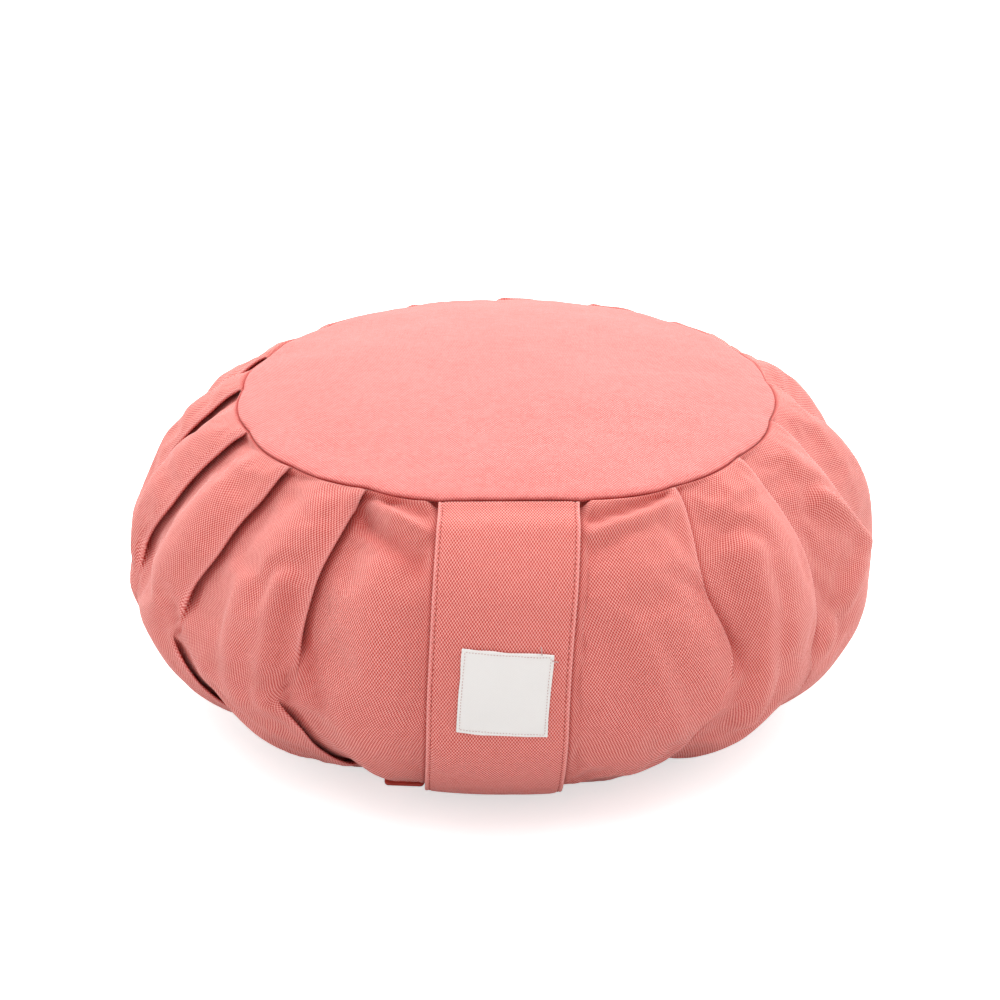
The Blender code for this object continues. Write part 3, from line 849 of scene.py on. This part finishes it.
def stitchSpot(pointAt, place, step, lift, reach=0.001):
    # Where a stitch lies on the surface that pointAt gives, and its ways along and out of the cloth
    middle, ahead, above = (Vector(pointAt(place[0] + across, place[1] + down, lift + up))
                            for across, down, up in ((0, 0, 0), (*step, 0), (0, 0, reach)))
    return middle, ahead - middle, (above - middle).normalized()


def makeStrapStitches():
    mesh = bmesh.new()
    count = int(sideLength * strap["stitchedPart"] / strap["stitchPitch"])
    for edge in (-1, 1):
        for stitch in range(count):
            share = strap["stitchStart"] + strap["stitchRun"] * stitch / count
            wander = random.uniform(-strap["stitchWander"], strap["stitchWander"])
            across = edge * (strapWidth(share) / 2 - strap["stitchInset"]) + wander
            lift = strap["seenThickness"] - strap["stitchPress"] + strap["stitchRise"]
            middle, along, outwards = stitchSpot(strapPoint, (across, share), (0, strap["stitchAhead"]), lift)
            along -= outwards * along.dot(outwards)
            addStitch(mesh, middle, along, outwards, strap["stitchLength"], strap["stitchThickness"])
    return finishPiece("strapStitches", mesh)


label = {
    "width": 0.0393,
    "height": 0.0372,
    "thickness": 0.0009,
    "share": 0.432,
    "shift": 0.0024,
    "turn": 4,
    "skew": 0.45,
    "lift": 0.00045,
    "cells": 36,
    "rounding": 0.0003,
    "cutWave": (0.0004, 0.009),
    "cutMargin": 0.004,
    "faceWave": (0.00012, 0.012),
    "stitchPress": 0.00018,
    "edgeStand": 0.00022,
    "edgeStandInset": 0.0007,
    "bandWidth": 0.0007,
    "deepest": 0.00012,
    "stitchInset": 0.0014,
    "stitchPitch": 0.0013,
    "stitchLength": 0.0008,
    "stitchThickness": 0.00036,
    "stitchRise": 0.00005,
    "stitchWander": 0.00010,
    "stitchAhead": 0.001,
    "threadBead": (0.0014, 0.0006),
    "threadRise": 0.0002,
    "threadCurl": (0.0007, 2.2),
    "threadEnds": ((0.0143, -0.0182, -0.0008, -0.0034), (0.0188, -0.0160, 0.0026, 0.0004)),
}


def labelPoint(right, down, lift):
    turn = math.radians(label["turn"])
    across = label["shift"] + right * math.cos(turn) - down * math.sin(turn) * label["skew"]
    share = label["share"] + (right * math.sin(turn) + down * math.cos(turn)) / sideLength
    return strapPoint(across, share, strap["seenThickness"] + label["lift"] + lift)


def makeLabel():
    line = np.linspace(-0.5, 0.5, label["cells"] + 1)
    right, up = np.meshgrid(line * label["width"], line * label["height"])
    edge = np.minimum(label["width"] / 2 - np.abs(right), label["height"] / 2 - np.abs(up))
    flow = np.stack([right, up, 0 * up], -1)
    # The cut is slightly uneven, the stitching sinks in, and the turned edge stands up again outside it
    uneven, waveSize = smooth(edge, label["cutMargin"], 0) * label["cutWave"][0], label["cutWave"][1]
    right, up = right + uneven * ripples(flow, waveSize, 11), up + uneven * ripples(flow, waveSize, 12)
    lift = -label["stitchPress"] * bell(edge - label["stitchInset"], label["bandWidth"])
    lift = lift + label["faceWave"][0] * ripples(flow, label["faceWave"][1], 13)
    lift = lift + label["edgeStand"] * bell(edge - label["edgeStandInset"], label["bandWidth"])
    places = labelPoint(right, -up, np.maximum(lift, -label["deepest"]))
    mesh = clothGrid(label["cells"], label["cells"])
    layCloth(mesh, places, flow[..., :2])
    piece = finishPiece("sewnLabel", mesh, sharp=50)
    thicken(piece, label["thickness"], 1)
    roundEdges(piece, label["rounding"], 2)
    return piece


def makeLabelStitches():
    mesh = bmesh.new()
    halfWidth, halfHeight = (label[size] / 2 - label["stitchInset"] for size in ("width", "height"))
    for length, half, upright in ((halfWidth, halfHeight, False), (halfHeight, halfWidth, True)):
        count = round(2 * length / label["stitchPitch"])
        for edge in (-1, 1):
            for stitch in range(count):
                run = -length + 2 * length * (stitch + 0.5) / count
                beside = edge * half + random.uniform(-label["stitchWander"], label["stitchWander"])
                place, step = (run, beside), (label["stitchAhead"], 0)
                if upright:
                    place, step = place[::-1], step[::-1]
                spot = stitchSpot(labelPoint, place, step, label["thickness"] + label["stitchRise"])
                addStitch(mesh, *spot, label["stitchLength"], label["stitchThickness"])
    # Two clipped ends of thread stick out at the upper right corner
    low, (curlLift, curlTurn) = label["thickness"] + label["threadRise"], label["threadCurl"]
    for right, down, turnRight, turnDown in label["threadEnds"]:
        curl = [Vector(labelPoint(right + turnRight * run, down + turnDown * run,
                                  low + curlLift * math.sin(curlTurn * run))) for run in (0, 0.25, 0.5, 0.75, 1)]
        for start, end in zip(curl, curl[1:]):
            addStitch(mesh, (start + end) / 2, end - start, Vector((0, -1, 0.2)).normalized(), *label["threadBead"])
    return finishPiece("labelStitches", mesh)


tab = {
    "length": 0.0185,
    "width": 0.0075,
    "thickness": 0.0017,
    "middle": (-0.0440, -0.1185),
    "turn": -4,
    "tilt": 23,
    "clearance": 0.0003,
    "slot": (0.0028, 0.0038),
    "slotInset": 0.0040,
    "corner": 0.0020,
    "rounding": 0.0004,
    "linkWidth": 0.0022,
    "linkRadius": 0.0020,
    "linkThickness": 0.0007,
    "linkStretch": 1.35,
    "plate": (0.0036, 0.0054, 0.0006),
    "plateDrop": 0.0014,
    "plateBack": 0.0022,
}


def tabPlace():
    tilt, turn = math.radians(tab["tilt"]), math.radians(tab["turn"])
    height = tab["width"] / 2 * math.sin(tilt) + tab["thickness"] / 2 * math.cos(tilt) + tab["clearance"]
    place = Matrix.Translation((*tab["middle"], height))
    return place @ Matrix.Rotation(turn, 4, "Z") @ Matrix.Rotation(tilt, 4, "X")


def makeTab():
    mesh = bmesh.new()
    bmesh.ops.create_cube(mesh, size=1)
    bmesh.ops.scale(mesh, vec=(tab["length"], tab["width"], tab["thickness"]), verts=mesh.verts)
    uprights = [edge for edge in mesh.edges if abs(edge.verts[0].co.z - edge.verts[1].co.z) > 0.001]
    bmesh.ops.bevel(mesh, geom=uprights, offset=tab["corner"], offset_type="OFFSET", segments=6,
                    profile=0.5, affect="EDGES", material=-1)
    # Four cuts mark out the slot, whose faces are then taken away and its walls put in
    middle = -tab["length"] / 2 + tab["slotInset"]
    halfWidth, halfLength = tab["slot"][0] / 2, tab["slot"][1] / 2
    for place, way in (((middle - halfWidth, 0, 0), (1, 0, 0)), ((middle + halfWidth, 0, 0), (1, 0, 0)),
                       ((0, -halfLength, 0), (0, 1, 0)), ((0, halfLength, 0), (0, 1, 0))):
        bmesh.ops.bisect_plane(mesh, geom=mesh.verts[:] + mesh.edges[:] + mesh.faces[:], plane_co=place,
                               plane_no=way, dist=1e-7)
    inside = [face for face in mesh.faces if abs(face.normal.z) > 0.5
              and abs(face.calc_center_median().x - middle) < halfWidth
              and abs(face.calc_center_median().y) < halfLength]
    bmesh.ops.delete(mesh, geom=inside, context="FACES_ONLY")
    rims = [edge for edge in mesh.edges if edge.is_boundary]
    bmesh.ops.bridge_loops(mesh, edges=rims)
    bmesh.ops.recalc_face_normals(mesh, faces=mesh.faces)
    bmesh.ops.transform(mesh, matrix=tabPlace(), verts=mesh.verts)
    piece = finishPiece("zipPull", mesh, sharp=35)
    roundEdges(piece, tab["rounding"])
    return piece


def makeTabLink():
    # The slider's flat loop, which passes through the slot and goes back under the seam
    mesh = bmesh.new()
    bmesh.ops.create_circle(mesh, segments=12, radius=1)
    bmesh.ops.scale(mesh, vec=(tab["linkWidth"] / 2, tab["linkThickness"] / 2, 1), verts=mesh.verts)
    bmesh.ops.translate(mesh, vec=(0, tab["linkRadius"], 0), verts=mesh.verts)
    bmesh.ops.spin(mesh, geom=mesh.verts[:] + mesh.edges[:], cent=(0, 0, 0), axis=(1, 0, 0),
                   angle=2 * math.pi, steps=28, use_merge=True)
    bmesh.ops.scale(mesh, vec=(1, tab["linkStretch"], 1), verts=mesh.verts)
    bmesh.ops.remove_doubles(mesh, verts=mesh.verts, dist=1e-6)
    bmesh.ops.recalc_face_normals(mesh, faces=mesh.faces)
    # The slider's plate lies just under the slot, a dark sheet that is also painted shade: it keeps the bright floor
    # from showing through the slot
    plate = Matrix.Translation((0, -tab["plateBack"], -tab["plateDrop"])) @ Matrix.Diagonal((*tab["plate"], 1))
    bmesh.ops.create_cube(mesh, size=1, matrix=plate)
    slot = Matrix.Translation((-tab["length"] / 2 + tab["slotInset"], tab["linkRadius"] * tab["linkStretch"], 0))
    bmesh.ops.transform(mesh, matrix=tabPlace() @ slot, verts=mesh.verts)
    return finishPiece("zipLink", mesh)


coral = {
    "cloth": (0.88, 0.350, 0.308),
    "gap": (0.50, 0.034, 0.022),
    # The paler tone is both faded dye and a painted highlight on the rolled edges; the darkest tone is painted shade
    "fadedAndLit": (0.93, 0.375, 0.35),
    "paintedShadeTone": (0.42, 0.022, 0.014),
    "edgeHighlight": 0.55,
    "foldShade": 0.7,
    "warpPitch": 0.00067,
    "weftPitch": 0.00092,
    "weaveDepth": 0.00022,
    "gapShare": 0.95,
    "fade": 0.35,
    "yarnFrom": 0.35,
    "yarnShare": 0.5,
    "mottle": 0.16,
    "roughness": 0.88,
    "gloss": 0.25,
    "sheen": 0.55,
    "sheenSpread": 0.2,
    "sheenTint": (1, 0.70, 0.65, 1),
}

# The top panel's copy of the canvas is darker than the side's, as painted shade against the strong light from above,
# with a fainter weave and more mottle
shadedTopCoral = {
    **coral,
    "cloth": (0.83, 0.265, 0.245),
    "fadedAndLit": (0.89, 0.335, 0.315),
    "gapShare": 0.62,
    "weaveDepth": 0.00015,
    "mottle": 0.26,
}

labelWeave = {
    **coral,
    "cloth": (0.82, 0.755, 0.735),
    "gap": (0.63, 0.58, 0.565),
    "fadedAndLit": (0.87, 0.81, 0.79),
    "paintedShadeTone": (0.5, 0.5, 0.48),
    "edgeHighlight": 0,
    "foldShade": 0,
    "warpPitch": 0.00030,
    "weftPitch": 0.00036,
    "weaveDepth": 0.00005,
    "gapShare": 0.5,
    "mottle": 0.05,
    "roughness": 0.7,
    "sheen": 0.1,
}

# Threads, coating and wire: (colour, roughness, metallic), all with one fine grain
plain = {
    "coralThread": ((0.40, 0.055, 0.042), 0.85, 0),
    "pinkThread": ((0.60, 0.34, 0.32), 0.7, 0),
    "coatedTab": ((0.80, 0.10, 0.07), 0.38, 0),
    "darkMetal": ((0.09, 0.08, 0.08), 0.32, 0.9),
    "grain": 900,
    "grainDepth": 0.00005,
    "grainShade": 0.72,
}


def feed(tree, socket, value):
    if isinstance(value, bpy.types.NodeSocket):
        tree.links.new(value, socket)
    else:
        socket.default_value = value


def connect(tree, node, **values):
    # Sets or links the node's sockets by name; an underscore stands for a space
    for title, value in values.items():
        feed(tree, node.inputs[title.replace("_", " ")], value)
    return node


def newNode(tree, kind, **values):
    return connect(tree, tree.nodes.new("ShaderNode" + kind), **values)


def newGroup(name, inputs, outputs):
    # An input with a value is a number, and one without is a vector
    group = bpy.data.node_groups.new(name, "ShaderNodeTree")
    for title, value in inputs.items():
        kind = "NodeSocketVector" if value is None else "NodeSocketFloat"
        socket = group.interface.new_socket(name=title, in_out="INPUT", socket_type=kind)
        if value is not None:
            socket.default_value = value
    for title in outputs:
        group.interface.new_socket(name=title, in_out="OUTPUT", socket_type="NodeSocketFloat")
    return group, group.nodes.new("NodeGroupInput").outputs, group.nodes.new("NodeGroupOutput")


def calc(tree, operation, first, second=None, clamp=False):
    node = assign(newNode(tree, "Math"), operation=operation, use_clamp=clamp)
    for socket, value in zip(node.inputs, (first, second)):
        if value is not None:
            feed(tree, socket, value)
    return node.outputs[0]


def noiseNode(tree, vector, scale, detail, roughness=0.5):
    return newNode(tree, "TexNoise", Vector=vector, Scale=scale, Detail=detail, Roughness=roughness).outputs


def mixColours(tree, factor, first, second):
    node = assign(newNode(tree, "Mix"), data_type="RGBA")
    for place, value in ((0, factor), (6, first), (7, second)):
        feed(tree, node.inputs[place], (*value, 1) if isinstance(value, tuple) else value)
    return node.outputs[2]


def makeWeaveGroup():
    # Plain weave on a cloth measured in metres: each thread goes over one and under the next
    inputs = {"Cloth": None, "Warp pitch": 0.0007, "Weft pitch": 0.0009, "Wander": 0.00048}
    group, given, put = newGroup("plainWeave", inputs, ("Height", "Gap", "Thread"))
    apart = newNode(group, "SeparateXYZ", Vector=given["Cloth"]).outputs
    drift = newNode(group, "SeparateXYZ", Vector=noiseNode(group, given["Cloth"], 160, 1)["Color"]).outputs
    waves = []
    for axis, pitch in (("X", "Warp pitch"), ("Y", "Weft pitch")):
        shift = calc(group, "MULTIPLY", calc(group, "SUBTRACT", drift[axis], 0.5), given["Wander"])
        turns = calc(group, "DIVIDE", calc(group, "ADD", apart[axis], shift), given[pitch])
        waves.append(calc(group, "SINE", calc(group, "MULTIPLY", turns, math.pi)))
    bump = calc(group, "ADD", calc(group, "MULTIPLY", *waves), 0.5, True)
    # Uneven yarn: long thin streaks along each thread
    streaks = [noiseNode(group, newNode(group, "Mapping", Vector=given["Cloth"], Scale=scale).outputs[0], 1, 1)["Fac"]
               for scale in ((1400, 60, 1), (60, 1000, 1))]
    yarn = calc(group, "MULTIPLY", calc(group, "ADD", *streaks), 0.5)
    connect(group, put, Height=calc(group, "MULTIPLY", bump, calc(group, "ADD", yarn, 0.5)),
            Gap=calc(group, "SUBTRACT", 1, bump, True), Thread=yarn)
    return group


def makeFadeGroup():
    # Broad, faint unevenness of the dye, and a fine mottle
    group, given, put = newGroup("unevenDye", {"Place": None, "Size": 14}, ("Fade", "Mottle"))
    broad = noiseNode(group, given["Place"], given["Size"], 4, 0.6)["Fac"]
    fine = calc(group, "SUBTRACT", noiseNode(group, given["Place"], 330, 3, 0.65)["Fac"], 0.32)
    connect(group, put, Fade=newNode(group, "MapRange", Value=broad, From_Min=0.3, From_Max=0.7).outputs[0],
            Mottle=calc(group, "MULTIPLY", fine, 2.2, True))
    return group


weaveGroup = makeWeaveGroup()
fadeGroup = makeFadeGroup()


def placeGroup(tree, group, **values):
    return connect(tree, assign(newNode(tree, "Group"), node_tree=group), **values).outputs


def startMaterial(name):
    material = bpy.data.materials.new(name)
    material.use_nodes = True
    tree = material.node_tree
    return material, tree, tree.nodes["Principled BSDF"]


def makeCanvas(name, finish):
    material, tree, shader = startMaterial(name)
    cloth = assign(newNode(tree, "UVMap"), uv_map="cloth").outputs[0]
    weave = placeGroup(tree, weaveGroup, Cloth=cloth, Warp_pitch=finish["warpPitch"], Weft_pitch=finish["weftPitch"])
    fade = placeGroup(tree, fadeGroup, Place=newNode(tree, "TexCoord").outputs["Object"])
    worn, crevice = (assign(newNode(tree, "Attribute"), attribute_name=line).outputs["Fac"]
                     for line in ("worn", "crevice"))
    # Dye fades and lies unevenly on the yarn; a painted highlight lightens the rolled edges, and painted shade
    # darkens the folds, seams, valleys and lower side
    colour = finish["cloth"]
    for mask, strength, tone in ((fade["Fade"], "fade", "fadedAndLit"),
                                 (calc(tree, "SUBTRACT", weave["Thread"], finish["yarnFrom"]), "yarnShare", "fadedAndLit"),
                                 (fade["Mottle"], "mottle", "gap"), (weave["Gap"], "gapShare", "gap"),
                                 (worn, "edgeHighlight", "fadedAndLit"), (crevice, "foldShade", "paintedShadeTone")):
        colour = mixColours(tree, calc(tree, "MULTIPLY", mask, finish[strength], True), colour, finish[tone])
    bump = newNode(tree, "Bump", Strength=1, Distance=finish["weaveDepth"], Height=weave["Height"]).outputs[0]
    connect(tree, shader, Base_Color=colour, Normal=bump, Roughness=finish["roughness"],
            Specular_IOR_Level=finish["gloss"], Sheen_Weight=finish["sheen"], Sheen_Roughness=finish["sheenSpread"],
            Sheen_Tint=finish["sheenTint"])
    return material


def makePlain(name):
    colour, roughness, metallic = plain[name]
    material, tree, shader = startMaterial(name)
    fine = noiseNode(tree, newNode(tree, "TexCoord").outputs["Object"], plain["grain"], 3, 0.6)["Fac"]
    toned = mixColours(tree, fine, tuple(plain["grainShade"] * part for part in colour), colour)
    bump = newNode(tree, "Bump", Distance=plain["grainDepth"], Height=fine).outputs[0]
    connect(tree, shader, Base_Color=toned, Normal=bump, Roughness=roughness, Metallic=metallic)
    return material


layFloor()
lightStudio()
print("studio ready")


def fit(piece, material, node):
    piece.data.materials.append(material)
    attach(piece, "root")
    if node:
        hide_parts(node)
    return piece


canvas = makeCanvas("coralCanvas", coral)
shadedTopCanvas = makeCanvas("shadedCoralCanvasTop", shadedTopCoral)
labelCloth = makeCanvas("labelWeave", labelWeave)

pleatedSide = fit(makeSide(), canvas, "filled_body")
print("pleated side sewn:", len(pleatedSide.data.polygons), "faces")
topPanel = fit(makeTopPanel(), shadedTopCanvas, "top_panel")
bottomPanel = fit(makeBottomPanel(), canvas, "bottom_panel")
print("round panels laid")
carryStrap = fit(makeStrap(), canvas, "carry_strap")
strapStitches = fit(makeStrapStitches(), makePlain("coralThread"), None)
print("strap sewn on")
sewnLabel = fit(makeLabel(), labelCloth, "label")
labelStitches = fit(makeLabelStitches(), makePlain("pinkThread"), None)
zipPull = fit(makeTab(), makePlain("coatedTab"), "zip_pull")
zipLink = fit(makeTabLink(), makePlain("darkMetal"), None)
print("label and closure tab fitted")
